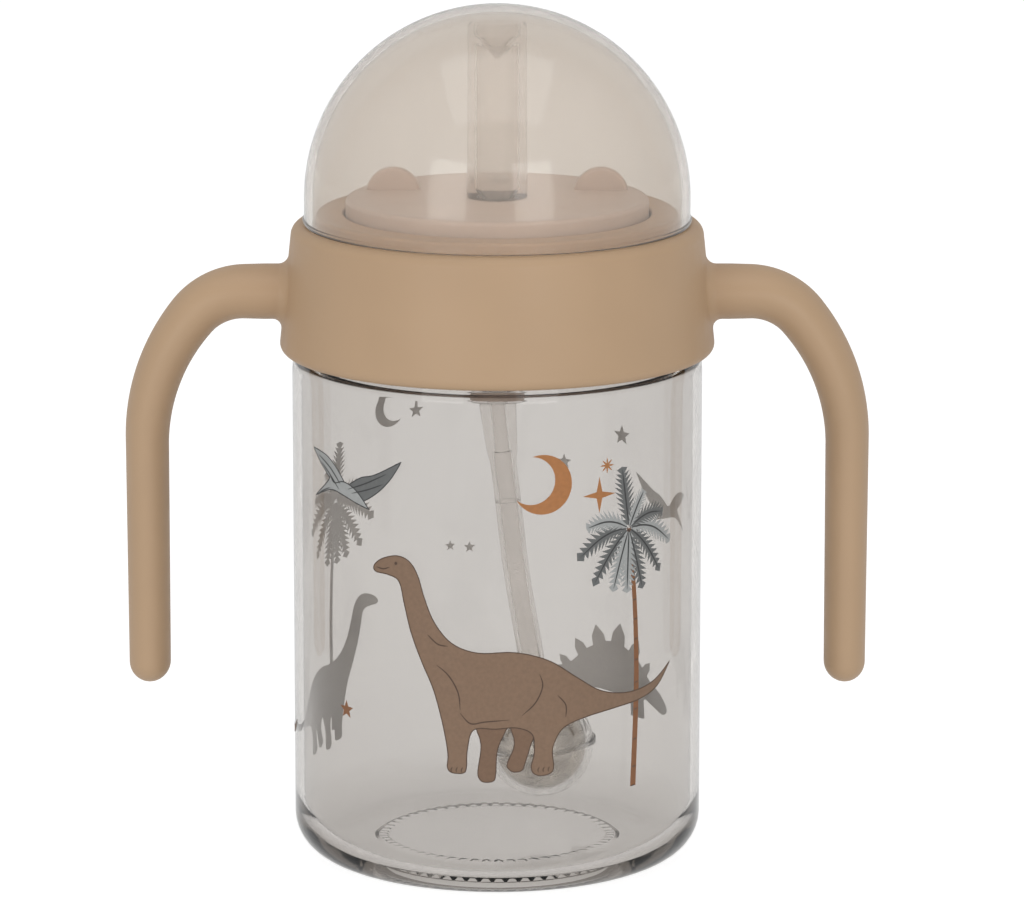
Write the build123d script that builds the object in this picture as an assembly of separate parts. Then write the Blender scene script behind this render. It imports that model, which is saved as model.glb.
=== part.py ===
from build123d import *
import math
import os

# Straw cup for a toddler: clear cup, screw collar with two handles, weighted straw and dome cover.
#
# Millimetres, +Z up. The origin is the middle of the base, on the surface that the cup stands on.
# The handles lie along X, and the front is -Y.

# ---------------------------------------------------------------- driving dimensions
CLEARANCE = 0.35                    # between parts that move past each other
STANDING = (Align.CENTER, Align.CENTER, Align.MIN)

CUP_R = 36.0                        # outer radius of the clear cup
CUP_WALL = 1.6
CUP_CORNER_R = 10.0                 # rounding between the wall and the base
CUP_FLOOR_Z = 2.4
SHOULDER_Z = 90.0                   # top of the shoulder, where the neck starts
SHOULDER_BEND_Z = 88.4              # the wall starts to lean in about here...
SHOULDER_BEND_R = 11.0              # ...on this radius...
SHOULDER_EDGE_R = 35.55             # ...and ends here, under the collar
NECK_R = 33.0
RIM_Z = 107.2                       # top edge of the neck
RECESS_R = 22.0                     # hollow under the base
RECESS_DEPTH = 0.8
TICK_COUNT = 60                     # short ribs round the edge of the hollow under the base
TICK_RING_R = 20.4

THREAD_LEAD = 5.0                   # rise of the lid for one turn of the collar
THREAD_TURNS = 1.2
THREAD_DEPTH = 1.4
THREAD_START_Z = 95.4

COLLAR_BOTTOM_Z = 90.2
COLLAR_BOTTOM_R = 38.24             # the wall leans in a little from here...
COLLAR_TOP_R = 35.9                 # ...to here
COLLAR_BORE_R = 34.9
SEAT_Z = 112.8                      # step that the dome cover rests on
DECK_Z = 114.7                      # top of the collar, inside the dome cover
DECK_R = 31.9

LID_DISC_R = 26.5
LID_TOP_Z = 117.3
LID_WALL = 2.0
LID_FLANGE_R = 32.8
LID_FLANGE_TOP_Z = 110.5
BOSS_R = 4.7                        # tube under the lid that holds the straw
BOSS_BORE_R = 3.2
BOSS_BOTTOM_Z = 83.2
TAB_X = 18.3                        # finger tabs that stand on the lid
TAB_Y = 8.0
TAB_WIDTH = 9.5
TAB_HEIGHT = 3.9
TAB_THICKNESS = 2.2
TAB_EDGE_ROUND = 0.5
TAB_ROOT_DEPTH = 0.5                # how far each tab is let into the lid
VENT_Y = 16.0
VENT_R = 1.6

GASKET_THICKNESS = 1.4

SPOUT_BASE_R = 5.3
SPOUT_TIP_R = 5.1
SPOUT_TOP_Z = 147.8
SPOUT_BORE_R = 3.55
SPOUT_SLEEVE_BORE_R = 2.2
VALVE_Z = 145.6                     # where the slit valve's cone meets the bore
VALVE_DEPTH = 3.3
VALVE_THICKNESS = 1.1

HANDLE_Z = 100.5                    # height of the handle's root
HANDLE_ROOT_X = 40.2                # flat face where the handle meets the collar's boss
HANDLE_FIRST_BEND_R = 12.0          # tight bend just outside the root
HANDLE_LEG_X = 61.6                 # middle of the vertical leg
HANDLE_TIP_Z = 30.2
HANDLE_ROOT_SIZE = (9.6, 13.0)      # thickness and width of the oval section at the root
HANDLE_LEG_SIZE = (7.6, 11.4)
HANDLE_TIP_SIZE = (7.3, 10.8)

DOME_R = 33.75
DOME_WALL = 1.5
DOME_CENTRE_Z = 117.2

TUBE_R = 2.3
TUBE_BORE_R = 1.5
SOCKET_TOP_R = 3.25                 # the tube's upper end is stretched over the connector
NIPPLE_R = 1.8
STEM_LEAN = 5.5                     # degrees that the soft stem leans towards +X
STEM_LEAN_Z = 81.0                  # height that it leans from
SIDE_PIVOT_Z = 68.8                 # the tube bends sideways here...
BEND_SPACING = 12.0                 # ...and to the front and back this much further down
CAPSULE_CENTRE = (7.65, 0, 18.7)
CAPSULE_TILT = 5.5
CAPSULE_R = 9.5
CAPSULE_WALL = 1.1
CAPSULE_RIDGE_R = 9.95
CAPSULE_RIDGE_HALF = 0.6            # half the height of the ridge round the middle
CAPSULE_NECK_R = 3.4
CAPSULE_NECK_TOP = 13.5             # above the capsule's middle
CAPSULE_FOOT = 9.1                  # flat foot, below the capsule's middle
CAPSULE_FOOT_HOLE_R = 2.0
CAPSULE_GROOVE_SIZE = (12.0, 1.4, 1.0)      # crossed grooves that let drink in under the foot
STEEL_R = 8.1


# ---------------------------------------------------------------- helpers
def turned(*corners):
    """Turn a closed half section about the Z axis: each corner is (radius, height, rounding)."""
    points = [(radius, 0, height) for radius, height, _ in corners]
    outline = FilletPolyline(*points, radius=[rounding for _, _, rounding in corners], close=True)
    return revolve(make_face(outline), Axis.Z)


def rod(radius, bottom_z, top_z):
    """A cylinder on the Z axis between two heights."""
    cylinder = Cylinder(radius, top_z - bottom_z, align=STANDING)
    return Pos(0, 0, bottom_z) * cylinder


def ring(outer_r, inner_r, bottom_z, top_z):
    """A plain ring on the Z axis."""
    return rod(outer_r, bottom_z, top_z) - rod(inner_r, bottom_z, top_z)


def thread_ridge(root_r, crest_r, start_z):
    """One right-hand helical ridge, from root_r to crest_r, that starts at start_z on the +X side."""
    bite = 0.3 if crest_r > root_r else -0.3
    helix = Helix(THREAD_LEAD, THREAD_LEAD * THREAD_TURNS, root_r)
    section_plane = Plane(origin=helix @ 0, x_dir=(1, 0, 0), z_dir=helix % 0)
    depth = crest_r - root_r
    section = section_plane * Polygon(
        (-bite, -1.15), (depth, -0.6), (depth, 0.6), (-bite, 1.15), align=None
    )
    return Pos(0, 0, start_z) * sweep(section, path=helix, is_frenet=True)


def leaning(shape):
    """Lean a shape on the Z axis towards +X, as the soft stem under the lid does."""
    return Pos(0, 0, STEM_LEAN_Z) * Rot(0, -STEM_LEAN, 0) * Pos(0, 0, -STEM_LEAN_Z) * shape


def tube_between(start, end, outer_r, inner_r):
    """A straight length of tube between two points."""
    along = end - start
    plane = Plane(origin=start, z_dir=along)
    return extrude(plane * Circle(outer_r), along.length) - extrude(plane * Circle(inner_r), along.length)


def ball_ended(span, pivot):
    """Round off the part of a tube that reaches above a pivot, so that it can turn there."""
    above = Plane(origin=pivot, z_dir=-tube_direction)
    outside = extrude(above * Circle(3 * TUBE_R), 3 * TUBE_R) - Pos(*pivot) * Sphere(TUBE_R)
    return span - outside


# ---------------------------------------------------------------- places worked out from the above
lean_drop = STEM_LEAN_Z - SIDE_PIVOT_Z
side_pivot = Vector(
    lean_drop * math.sin(math.radians(STEM_LEAN)),
    0,
    STEM_LEAN_Z - lean_drop * math.cos(math.radians(STEM_LEAN)),
)
capsule_place = Pos(*CAPSULE_CENTRE) * Rot(0, -CAPSULE_TILT, 0)
neck_top = (capsule_place * Pos(0, 0, CAPSULE_NECK_TOP)).position
tube_end = (capsule_place * Pos(0, 0, CAPSULE_R)).position
tube_direction = (neck_top - side_pivot).normalized()
front_pivot = side_pivot + tube_direction * BEND_SPACING
gasket_top = RIM_Z + GASKET_THICKNESS


# ---------------------------------------------------------------- the pieces
def make_cup_body():
    """Clear cup: a round pot with a threaded neck, and short ribs in the hollow under its base."""
    inner_r = CUP_R - CUP_WALL
    neck_bore = NECK_R - CUP_WALL
    pot = turned(
        (0, RECESS_DEPTH, 0),
        (RECESS_R - RECESS_DEPTH, RECESS_DEPTH, 0),
        (RECESS_R, 0, 0),
        (CUP_R, 0, CUP_CORNER_R),
        (CUP_R, SHOULDER_BEND_Z, SHOULDER_BEND_R),
        (SHOULDER_EDGE_R, SHOULDER_Z, 0),
        (NECK_R, SHOULDER_Z, 0),
        (NECK_R, RIM_Z, 0.4),
        (neck_bore, RIM_Z, 0.4),
        (neck_bore, SHOULDER_Z - CUP_WALL, 0.5),
        (inner_r, SHOULDER_Z - CUP_WALL, 1.0),
        (inner_r, CUP_FLOOR_Z, CUP_CORNER_R - CUP_WALL),
        (0, CUP_FLOOR_Z, 0),
    )
    tick = Pos(0, 0, RECESS_DEPTH) * Box(1.5, 0.6, 0.8)
    ticks = PolarLocations(TICK_RING_R, TICK_COUNT) * tick
    return pot + thread_ridge(NECK_R, NECK_R + THREAD_DEPTH, THREAD_START_Z) - ticks


def make_collar_ring():
    """Screw collar: threaded inside, with a seat for the dome cover and a boss for each handle."""
    hole_r = LID_DISC_R + CLEARANCE
    underside = LID_FLANGE_TOP_Z + 0.1
    shell = turned(
        (COLLAR_BORE_R, COLLAR_BOTTOM_Z, 0.3),
        (COLLAR_BOTTOM_R, COLLAR_BOTTOM_Z, 1.8),
        (COLLAR_TOP_R, SEAT_Z, 2.1),
        (DECK_R, SEAT_Z, 0),
        (DECK_R, DECK_Z, 0.6),
        (hole_r, DECK_Z, 0.4),
        (hole_r, DECK_Z - 2.3, 0),
        (DECK_R - 1.5, DECK_Z - 2.3, 0),
        (DECK_R - 1.5, underside, 0),
        (COLLAR_BORE_R, underside, 0),
    )
    thickness, width = HANDLE_ROOT_SIZE
    boss_start = COLLAR_BORE_R + 0.7
    oval = Plane(origin=(boss_start, 0, HANDLE_Z), x_dir=(0, 0, 1), z_dir=(1, 0, 0))
    boss = extrude(oval * Ellipse(thickness / 2, width / 2), HANDLE_ROOT_X - boss_start)
    shell = shell + boss + mirror(boss, Plane.YZ)
    root_lines = [
        edge for edge in shell.edges()
        if abs(abs(edge.center().X) - COLLAR_TOP_R) < 2 and abs(edge.center().Z - HANDLE_Z) < thickness
        and edge.length < 40
    ]
    shell = fillet(root_lines, 1.6)
    crest_r = NECK_R + 0.45
    return shell + thread_ridge(COLLAR_BORE_R, crest_r, THREAD_START_Z - THREAD_LEAD / 2)


def make_right_handle():
    """Curved handle on the +X side: straight off the collar, round two arcs and down to a round tip."""
    straight = 4.0
    first_turn = math.radians(50)
    arc_start = Vector(HANDLE_ROOT_X + straight, 0, HANDLE_Z)
    reach = HANDLE_LEG_X - arc_start.X
    first_r = HANDLE_FIRST_BEND_R
    second_r = (reach - first_r * math.sin(first_turn)) / (1 - math.sin(first_turn))
    first_centre = arc_start - Vector(0, 0, first_r)
    arc_middle = first_centre + Vector(
        first_r * math.sin(first_turn), 0, first_r * math.cos(first_turn)
    )
    leg_top = arc_middle + Vector(
        second_r * (1 - math.sin(first_turn)), 0, -second_r * math.cos(first_turn)
    )
    leg_bottom = Vector(HANDLE_LEG_X, 0, HANDLE_TIP_Z + HANDLE_TIP_SIZE[0] / 2)
    root = Vector(HANDLE_ROOT_X, 0, HANDLE_Z)
    run = Line(root, arc_start)
    first_arc = TangentArc(arc_start, arc_middle, tangent=(1, 0, 0))
    second_arc = TangentArc(arc_middle, leg_top, tangent=first_arc % 1)
    leg = Line(leg_top, leg_bottom)
    path = Wire([run, first_arc, second_arc, leg])

    def oval(point, direction, size):
        plane = Plane(origin=point, x_dir=(0, 1, 0), z_dir=direction)
        return plane * Ellipse(size[1] / 2, size[0] / 2)

    sections = [
        oval(root, (1, 0, 0), HANDLE_ROOT_SIZE),
        oval(leg_top, (0, 0, -1), HANDLE_LEG_SIZE),
        oval(leg_bottom, (0, 0, -1), HANDLE_TIP_SIZE),
    ]
    bar = sweep(sections, path=path, multisection=True)
    half_thick, half_wide = HANDLE_TIP_SIZE[0] / 2, HANDLE_TIP_SIZE[1] / 2
    tip = Pos(*leg_bottom) * scale(Sphere(1), by=(half_thick, half_wide, half_thick))
    tip = tip & (Pos(*leg_bottom) * Box(30, 30, 30, align=(Align.CENTER, Align.CENTER, Align.MAX)))
    return bar + tip


def make_inner_lid():
    """Lid disc inside the collar: flange, plug that enters the neck, straw boss and two finger tabs."""
    inside_z = LID_TOP_Z - LID_WALL
    plug_r = NECK_R - CUP_WALL - 0.8
    lid = turned(
        (BOSS_BORE_R, LID_TOP_Z, 0),
        (LID_DISC_R, LID_TOP_Z, 0.8),
        (LID_DISC_R, LID_FLANGE_TOP_Z, 0),
        (LID_FLANGE_R, LID_FLANGE_TOP_Z, 0.4),
        (LID_FLANGE_R, gasket_top, 0.3),
        (plug_r, gasket_top, 0),
        (plug_r, gasket_top - 5.4, 0.6),
        (plug_r - 1.8, gasket_top - 5.4, 0.3),
        (plug_r - 1.8, gasket_top, 0),
        (LID_DISC_R - LID_WALL, gasket_top, 0.3),
        (LID_DISC_R - LID_WALL, inside_z, 0.8),
        (BOSS_R, inside_z, 0.6),
        (BOSS_R, BOSS_BOTTOM_Z, 0.4),
        (BOSS_BORE_R, BOSS_BOTTOM_Z, 0),
    )
    tab_r = (TAB_WIDTH ** 2 / 4 + TAB_HEIGHT ** 2) / (2 * TAB_HEIGHT)
    tab = Rot(90, 0, 0) * Cylinder(tab_r, TAB_THICKNESS)
    tab = fillet(tab.edges().filter_by(GeomType.CIRCLE), TAB_EDGE_ROUND)
    tab = Pos(0, 0, LID_TOP_Z + TAB_HEIGHT - tab_r) * tab
    above_disc = Pos(0, 0, LID_TOP_Z - TAB_ROOT_DEPTH) * Box(20, 20, 20, align=STANDING)
    tab = tab & above_disc
    for side in (-1, 1):
        lid = lid + Pos(side * TAB_X, TAB_Y, 0) * tab
    return lid - Pos(0, VENT_Y, 0) * rod(VENT_R, inside_z - 1, LID_TOP_Z + 1)


def make_lid_gasket():
    """Flat silicone ring between the rim of the cup and the flange of the lid."""
    inner_r = NECK_R - CUP_WALL - 0.65
    return turned(
        (inner_r, RIM_Z, 0.3),
        (LID_FLANGE_R, RIM_Z, 0.3),
        (LID_FLANGE_R, gasket_top, 0.3),
        (inner_r, gasket_top, 0.3),
    )


def make_vent_valve():
    """Silicone duckbill that lets air in behind the spout as the child drinks."""
    bottom = LID_TOP_Z - 8.5
    valve = turned(
        (0, LID_TOP_Z + 0.9, 0),
        (3.0, LID_TOP_Z + 0.9, 0.5),
        (3.0, LID_TOP_Z, 0.1),
        (VENT_R, LID_TOP_Z, 0),
        (VENT_R, LID_TOP_Z - LID_WALL, 0),
        (2.3, LID_TOP_Z - LID_WALL, 0.2),
        (1.5, LID_TOP_Z - LID_WALL - 2.0, 0),
        (1.2, bottom, 0.3),
        (0, bottom, 0),
    )
    valve = valve - rod(0.7, bottom + 1.2, LID_TOP_Z + 2) - Pos(0, 0, bottom) * Box(0.2, 1.6, 3)
    return Pos(0, VENT_Y, 0) * valve


def make_straw_spout():
    """Silicone mouthpiece on the lid, with a slit valve across its bore near the top."""
    valve_under = VALVE_Z - VALVE_THICKNESS
    spout = turned(
        (0, VALVE_Z - VALVE_DEPTH, 0),
        (SPOUT_BORE_R, VALVE_Z, 0.3),
        (SPOUT_BORE_R + 0.2, SPOUT_TOP_Z, 0.5),
        (SPOUT_TIP_R, SPOUT_TOP_Z, 0.8),
        (SPOUT_BASE_R, LID_TOP_Z, 0),
        (BOSS_BORE_R, LID_TOP_Z, 0),
        (BOSS_BORE_R, LID_TOP_Z - 16, 0.4),
        (SPOUT_SLEEVE_BORE_R, LID_TOP_Z - 16, 0),
        (SPOUT_SLEEVE_BORE_R, LID_TOP_Z - 0.5, 0),
        (SPOUT_BORE_R, LID_TOP_Z + 1.5, 0),
        (SPOUT_BORE_R, valve_under, 0.3),
        (0, valve_under - VALVE_DEPTH, 0),
    )
    slit = Pos(0, 0, VALVE_Z - VALVE_DEPTH) * (Box(2.8, 0.2, 4.5) + Box(0.2, 2.8, 4.5))
    return spout - slit


def make_straw_connector():
    """Soft plug in the lid's boss, with a stepped flange and a nipple for the tube."""
    bore_r = NIPPLE_R - 0.2
    flange_z = BOSS_BOTTOM_Z - 1.0
    plug = turned(
        (bore_r, BOSS_BOTTOM_Z + 10, 0),
        (BOSS_BORE_R, BOSS_BOTTOM_Z + 10, 0.5),
        (BOSS_BORE_R, BOSS_BOTTOM_Z, 0),
        (5.2, BOSS_BOTTOM_Z, 0.2),
        (5.2, flange_z, 0.2),
        (4.4, flange_z, 0),
        (4.4, flange_z - 1.2, 0.3),
        (bore_r, flange_z - 1.2, 0),
    )
    nipple = leaning(rod(NIPPLE_R, SIDE_PIVOT_Z + 3.2, flange_z - 0.4))
    nipple_bore = leaning(rod(NIPPLE_R - 0.6, SIDE_PIVOT_Z, flange_z))
    return plug + nipple - nipple_bore


def make_tube_socket():
    """Upper end of the silicone tube, stretched over the connector's nipple."""
    top = BOSS_BOTTOM_Z - 2.7
    socket = turned(
        (NIPPLE_R, top, 0.2),
        (SOCKET_TOP_R, top, 0.4),
        (SOCKET_TOP_R - 0.5, SIDE_PIVOT_Z + 3.0, 2.0),
        (TUBE_R, SIDE_PIVOT_Z + 0.6, 0),
        (TUBE_R, SIDE_PIVOT_Z, 0),
        (TUBE_BORE_R, SIDE_PIVOT_Z, 0),
        (TUBE_BORE_R, SIDE_PIVOT_Z + 3.2, 0),
        (NIPPLE_R, SIDE_PIVOT_Z + 3.2, 0),
    )
    return leaning(socket) - Pos(*side_pivot) * Sphere(TUBE_R + CLEARANCE)


def make_tube_middle():
    """Short span of the tube between its two bends: round above, and hollowed below for the next."""
    span = tube_between(side_pivot - tube_direction * TUBE_R, front_pivot, TUBE_R, TUBE_BORE_R)
    return ball_ended(span, side_pivot) - Pos(*front_pivot) * Sphere(TUBE_R + CLEARANCE)


def make_tube_lower():
    """Lower span of the tube: straight from the second bend, then a slight turn into the capsule."""
    turn_r = 40.0
    top = front_pivot - tube_direction * TUBE_R
    path = Wire(FilletPolyline(top, neck_top, tube_end, radius=turn_r).edges())
    start = Plane(origin=top, z_dir=tube_direction)
    span = sweep(start * Circle(TUBE_R), path=path) - sweep(start * Circle(TUBE_BORE_R), path=path)
    return ball_ended(span, front_pivot)


def make_weight_halves():
    """Clear capsule round the steel weight, split at its middle: the neck half and the foot half."""
    ridge = rod(CAPSULE_RIDGE_R, -CAPSULE_RIDGE_HALF, CAPSULE_RIDGE_HALF)
    hollow = Sphere(CAPSULE_R - CAPSULE_WALL) & rod(CAPSULE_R, -CAPSULE_FOOT + CAPSULE_WALL, CAPSULE_R)
    ball = Sphere(CAPSULE_R) + ridge + rod(CAPSULE_NECK_R, 0, CAPSULE_NECK_TOP) - hollow
    ball = ball - rod(TUBE_R, CAPSULE_R, CAPSULE_NECK_TOP + 1) - rod(TUBE_BORE_R, 0, CAPSULE_NECK_TOP)
    ball = ball - rod(CAPSULE_FOOT_HOLE_R, -CAPSULE_R - 1, 0)
    groove_length, groove_width, groove_depth = CAPSULE_GROOVE_SIZE
    cross = Box(groove_length, groove_width, groove_depth) + Box(groove_width, groove_length, groove_depth)
    foot_grooves = Pos(0, 0, -CAPSULE_FOOT) * cross
    upper = ball & rod(20, 0, CAPSULE_NECK_TOP)
    lower = (ball & rod(20, -CAPSULE_FOOT, 0)) - foot_grooves
    return capsule_place * upper, capsule_place * lower


def make_steel_weight():
    """Steel ball inside the capsule, with a bore along its axis for the drink."""
    ball = (Sphere(STEEL_R) & rod(STEEL_R, -STEEL_R + 0.5, STEEL_R - 0.5)) - rod(1.9, -STEEL_R, STEEL_R)
    return capsule_place * ball


def make_dome_cover():
    """Smoky clear cover: half a sphere on a short skirt, with a thin bead round its edge."""
    def bell(radius):
        return Pos(0, 0, DOME_CENTRE_Z) * Sphere(radius) + rod(radius, SEAT_Z, DOME_CENTRE_Z)

    bead = ring(DOME_R + 0.25, DOME_R - 0.5, SEAT_Z, SEAT_Z + 0.9)
    above_seat = rod(DOME_R + 1, SEAT_Z, DOME_CENTRE_Z + DOME_R + 1)
    return (bell(DOME_R) + bead - bell(DOME_R - DOME_WALL)) & above_seat


weight_cap, weight_base = make_weight_halves()
right_handle = make_right_handle()
pieces = {
    "cup_body": make_cup_body(),
    "collar_ring": make_collar_ring(),
    "right_handle": right_handle,
    "left_handle": mirror(right_handle, Plane.YZ),
    "inner_lid": make_inner_lid(),
    "lid_gasket": make_lid_gasket(),
    "vent_valve": make_vent_valve(),
    "straw_spout": make_straw_spout(),
    "straw_connector": make_straw_connector(),
    "straw_tube_socket": make_tube_socket(),
    "straw_tube_middle": make_tube_middle(),
    "straw_tube_lower": make_tube_lower(),
    "weight_cap": weight_cap,
    "weight_base": weight_base,
    "steel_weight": make_steel_weight(),
    "dome_cover": make_dome_cover(),
}

os.makedirs("parts", exist_ok=True)
for name, piece in pieces.items():
    export_step(piece, f"parts/{name}.step")
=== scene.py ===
import math

import bmesh
import bpy
from mathutils import Matrix, Vector


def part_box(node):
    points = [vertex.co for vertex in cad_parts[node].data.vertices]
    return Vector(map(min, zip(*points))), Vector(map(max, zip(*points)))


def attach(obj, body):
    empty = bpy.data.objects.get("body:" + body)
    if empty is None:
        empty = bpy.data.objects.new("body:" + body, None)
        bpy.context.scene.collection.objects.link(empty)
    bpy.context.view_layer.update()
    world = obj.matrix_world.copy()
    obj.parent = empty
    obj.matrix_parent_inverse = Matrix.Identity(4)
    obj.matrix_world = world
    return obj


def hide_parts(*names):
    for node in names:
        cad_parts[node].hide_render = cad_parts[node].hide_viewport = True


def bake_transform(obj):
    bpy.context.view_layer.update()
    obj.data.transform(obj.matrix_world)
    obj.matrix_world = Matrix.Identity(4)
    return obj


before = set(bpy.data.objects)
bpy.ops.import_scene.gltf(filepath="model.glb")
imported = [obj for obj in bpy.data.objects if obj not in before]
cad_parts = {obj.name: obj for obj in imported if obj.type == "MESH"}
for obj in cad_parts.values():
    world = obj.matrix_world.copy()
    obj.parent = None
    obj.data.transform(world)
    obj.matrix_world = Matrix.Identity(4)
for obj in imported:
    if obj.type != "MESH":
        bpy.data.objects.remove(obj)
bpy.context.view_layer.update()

# A toddler's straw cup. Sizes are in millimetres until a mesh is made, and angles in degrees.
# The handles lie along X and the front is -Y.

MM = 0.001
ROUND_STEP = 11.0               # largest turn between two points of a rounded corner
PRINT_STEP = 0.02               # thickness of one layer of ink
CRESCENT_STEPS = 40
PRINT_STRIP = 1.5               # width of the strips that a print is cut in to follow the cup


# ---- sizes, from the frame where it has them
def mm_box(node):
    low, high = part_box(node)
    return low / MM, high / MM


_, cup_high = mm_box("cup_body")
collar_low, collar_high = mm_box("collar_ring")
handle_low, _ = mm_box("right_handle")
lid_low, lid_high = mm_box("inner_lid")
_, spout_high = mm_box("straw_spout")
dome_low, dome_high = mm_box("dome_cover")

CUP_R = cup_high.x
CUP_WALL = 1.6
CUP_CORNER_R = 10.0
CUP_FLOOR_Z = 2.4
SHOULDER_Z = 90.0
SHOULDER_BEND_Z = 88.4          # the wall starts to lean in about here...
SHOULDER_BEND_R = 11.0          # ...on this radius...
SHOULDER_EDGE_R = 35.55         # ...and ends here, under the collar
NECK_R = 33.0
RIM_Z = cup_high.z
RECESS_R = 22.0
RECESS_DEPTH = 0.8
TICK_RING_R = 20.4
TICK_HEIGHT = 0.4

THREAD_LEAD = 5.0
THREAD_TURNS = 1.2
THREAD_DEPTH = 1.4
THREAD_START_Z = 95.4
THREAD_ROOT = 1.15              # half the ridge's height at its root...
THREAD_CREST = 0.6              # ...and at its crest
THREAD_RUN_OUT = 0.04           # of a turn, over which the ridge fades at each end
THREAD_STEP = 0.28              # height of the steps that a threaded wall is cut in
COLLAR_CREST_DEPTH = 1.45

COLLAR_BOTTOM_Z = collar_low.z
COLLAR_BOTTOM_R = 38.24
COLLAR_TOP_R = 35.9
COLLAR_BORE_R = 34.9
DECK_Z = collar_high.z
DECK_R = 31.9
SEAT_Z = dome_low.z

LID_DISC_R = 26.5
LID_TOP_Z = 117.3
LID_WALL = 2.0
LID_FLANGE_R = lid_high.x
LID_FLANGE_TOP_Z = 110.5
GASKET_TOP_Z = 108.6
PLUG_R = NECK_R - CUP_WALL - 0.8
PLUG_DEPTH = 5.4
PLUG_THICKNESS = 1.8
BOSS_R = 4.7
BOSS_BORE_R = 3.2
BOSS_BOTTOM_Z = lid_low.z
TAB_X, TAB_Y = 18.3, 8.0
TAB_WIDTH, TAB_THICKNESS = 9.5, 2.2
TAB_HEIGHT = lid_high.z - LID_TOP_Z

SPOUT_BASE_R = spout_high.x
SPOUT_TIP_R = 5.1
SPOUT_TOP_Z = spout_high.z
SPOUT_BORE_R = 3.55
SLEEVE_BORE_R = 2.2
SLEEVE_LENGTH = 16.0
VALVE_Z = SPOUT_TOP_Z - 2.2
VALVE_DEPTH = 3.3
VALVE_THICKNESS = 1.1

DOME_R = 33.75
DOME_WALL = 1.5
DOME_CENTRE_Z = dome_high.z - DOME_R

HANDLE_Z = 100.5
HANDLE_STRAIGHT = 4.0
HANDLE_FIRST_TURN = math.radians(50)
HANDLE_FIRST_R = 12.0
HANDLE_ROOT_X = handle_low.x
HANDLE_LEG_X = 61.6
HANDLE_TIP_Z = handle_low.z
HANDLE_ROOT_SIZE = (9.6, 13.0)  # thickness and width of the oval section
HANDLE_LEG_SIZE = (7.6, 11.4)
HANDLE_TIP_SIZE = (7.3, 10.8)
LEG_STEPS = 13
HANDLE_FLARE = 1.7              # radius of the hollow where the handle runs into the collar

TUBE_R = 2.3
TUBE_BORE_R = 1.5
SOCKET_TOP_R = 3.25
CONNECTOR_BORE_R = 1.6
CONNECTOR_LENGTH = 10.0
LIP_R, LIP_THICKNESS = 5.2, 1.0
LOWER_LIP_R, LOWER_LIP_THICKNESS = 4.4, 1.2
SOCKET_DROP = 2.7               # from the boss down to the top of the tube
NIPPLE_BORE_R = 1.2
STEM_LEAN = 5.5
STEM_LEAN_Z = 81.0
SIDE_PIVOT_Z = 68.8
BEND_SPACING = 12.0
TUBE_BOW = 0.4                  # the soft tube bows this far to the left between its ends

CAPSULE_CENTRE = (7.65, 0.0, 18.7)
CAPSULE_TILT = 5.5
CAPSULE_R = 9.5
CAPSULE_WALL = 1.1
CAPSULE_RIDGE_R = 9.95
CAPSULE_RIDGE_HALF = 0.6
CAPSULE_NECK_R = 3.4
CAPSULE_NECK_TOP = 13.5
CAPSULE_FOOT = 9.1
CAPSULE_FOOT_HOLE_R = 2.0
STEEL_R = 8.1
STEEL_BORE_R = 1.9


# ---- materials
def new_material(name):
    material = bpy.data.materials.new(name)
    material.use_nodes = True
    tree = material.node_tree
    return material, tree, tree.nodes["Principled BSDF"]


def set_sockets(node, values):
    for name, value in values.items():
        node.inputs[name].default_value = value


def noise(tree, scale, detail=3.0, stretch=(1, 1, 1)):
    """The factor of a noise texture in the row frame; scale is in features per metre."""
    place = tree.nodes.new("ShaderNodeTexCoord")
    mapping = tree.nodes.new("ShaderNodeMapping")
    set_sockets(mapping, {"Scale": stretch})
    texture = tree.nodes.new("ShaderNodeTexNoise")
    set_sockets(texture, {"Scale": scale, "Detail": detail})
    tree.links.new(place.outputs["Object"], mapping.inputs["Vector"])
    tree.links.new(mapping.outputs["Vector"], texture.inputs["Vector"])
    return texture.outputs["Fac"]


def between(tree, factor, low, high):
    """Spread the middle of a noise factor over low to high."""
    node = tree.nodes.new("ShaderNodeMapRange")
    set_sockets(node, {"From Min": 0.3, "From Max": 0.7, "To Min": low, "To Max": high})
    tree.links.new(factor, node.inputs["Value"])
    return node.outputs["Result"]


def vary_roughness(tree, shader, factor, low, high):
    tree.links.new(between(tree, factor, low, high), shader.inputs["Roughness"])


def vary_colour(tree, shader, colour, amount, factor):
    """A colour that drifts a little lighter and darker over the surface."""
    mix = tree.nodes.new("ShaderNodeMix")
    mix.data_type = "RGBA"
    for socket, share in ((mix.inputs[6], 1 - amount), (mix.inputs[7], 1 + amount)):
        socket.default_value = (*[min(1.0, part * share) for part in colour], 1.0)
    tree.links.new(between(tree, factor, 0.0, 1.0), mix.inputs[0])
    tree.links.new(mix.outputs[2], shader.inputs["Base Color"])


def add_bump(tree, shader, height, depth_mm, strength=1.0):
    bump = tree.nodes.new("ShaderNodeBump")
    set_sockets(bump, {"Strength": strength, "Distance": depth_mm * MM})
    tree.links.new(height, bump.inputs["Height"])
    tree.links.new(bump.outputs["Normal"], shader.inputs["Normal"])


def let_light_through(tree, shader, tint):
    """Clear plastic throws a tinted shadow, not a solid one."""
    path = tree.nodes.new("ShaderNodeLightPath")
    through = tree.nodes.new("ShaderNodeBsdfTransparent")
    through.inputs["Color"].default_value = (*tint, 1.0)
    mix = tree.nodes.new("ShaderNodeMixShader")
    output = tree.nodes["Material Output"]
    tree.links.new(path.outputs["Is Shadow Ray"], mix.inputs["Fac"])
    tree.links.new(shader.outputs["BSDF"], mix.inputs[1])
    tree.links.new(through.outputs["BSDF"], mix.inputs[2])
    tree.links.new(mix.outputs["Shader"], output.inputs["Surface"])


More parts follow.
